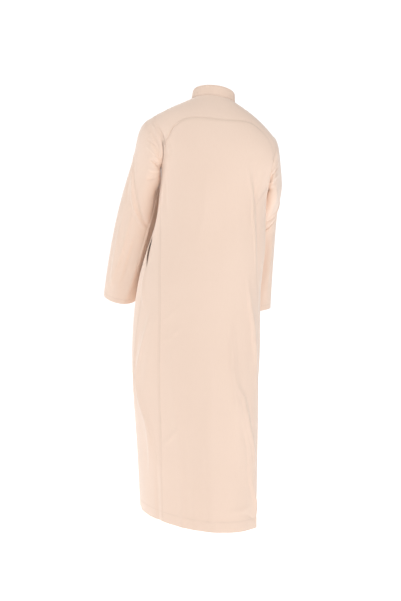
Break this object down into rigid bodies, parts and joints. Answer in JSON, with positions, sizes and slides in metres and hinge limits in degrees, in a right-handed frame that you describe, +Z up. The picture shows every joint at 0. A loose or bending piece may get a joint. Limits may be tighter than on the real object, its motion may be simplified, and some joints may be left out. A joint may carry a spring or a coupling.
{
  "type": "long robe",
  "caption": "Ankle-length straight robe with a band collar, curved yoke, set-in plain sleeves, half-front placket and side gores, worn open hollow form.",
  "frame": {"origin": "middle of the neck's base, on the line of the two shoulders, where the wearer holds the robe up", "axes": "+Z up towards the collar, -Y towards the front, +X towards the wearer's left"},
  "size_m": [0.6161, 0.4688, 1.4797],
  "materials": {
    "robe_cloth": "fine plain weave with a slight sheen",
    "band_cloth": "fine plain weave with a slight sheen",
    "pocket_cloth": "fine plain weave with a slight sheen",
    "button": "satin"
  },
  "bodies": {
    "root": {"back": "robe_cloth", "front": "robe_cloth", "yoke": "robe_cloth", "gore_left": "robe_cloth", "gore_right": "robe_cloth", "sleeve_left": "robe_cloth", "sleeve_right": "robe_cloth", "collar": "band_cloth", "placket": "band_cloth", "pocket_left": "pocket_cloth", "pocket_right": "pocket_cloth", "button_collar": "button", "button_1": "button", "button_2": "button", "button_3": "button"}
  },
  "joints": []
}
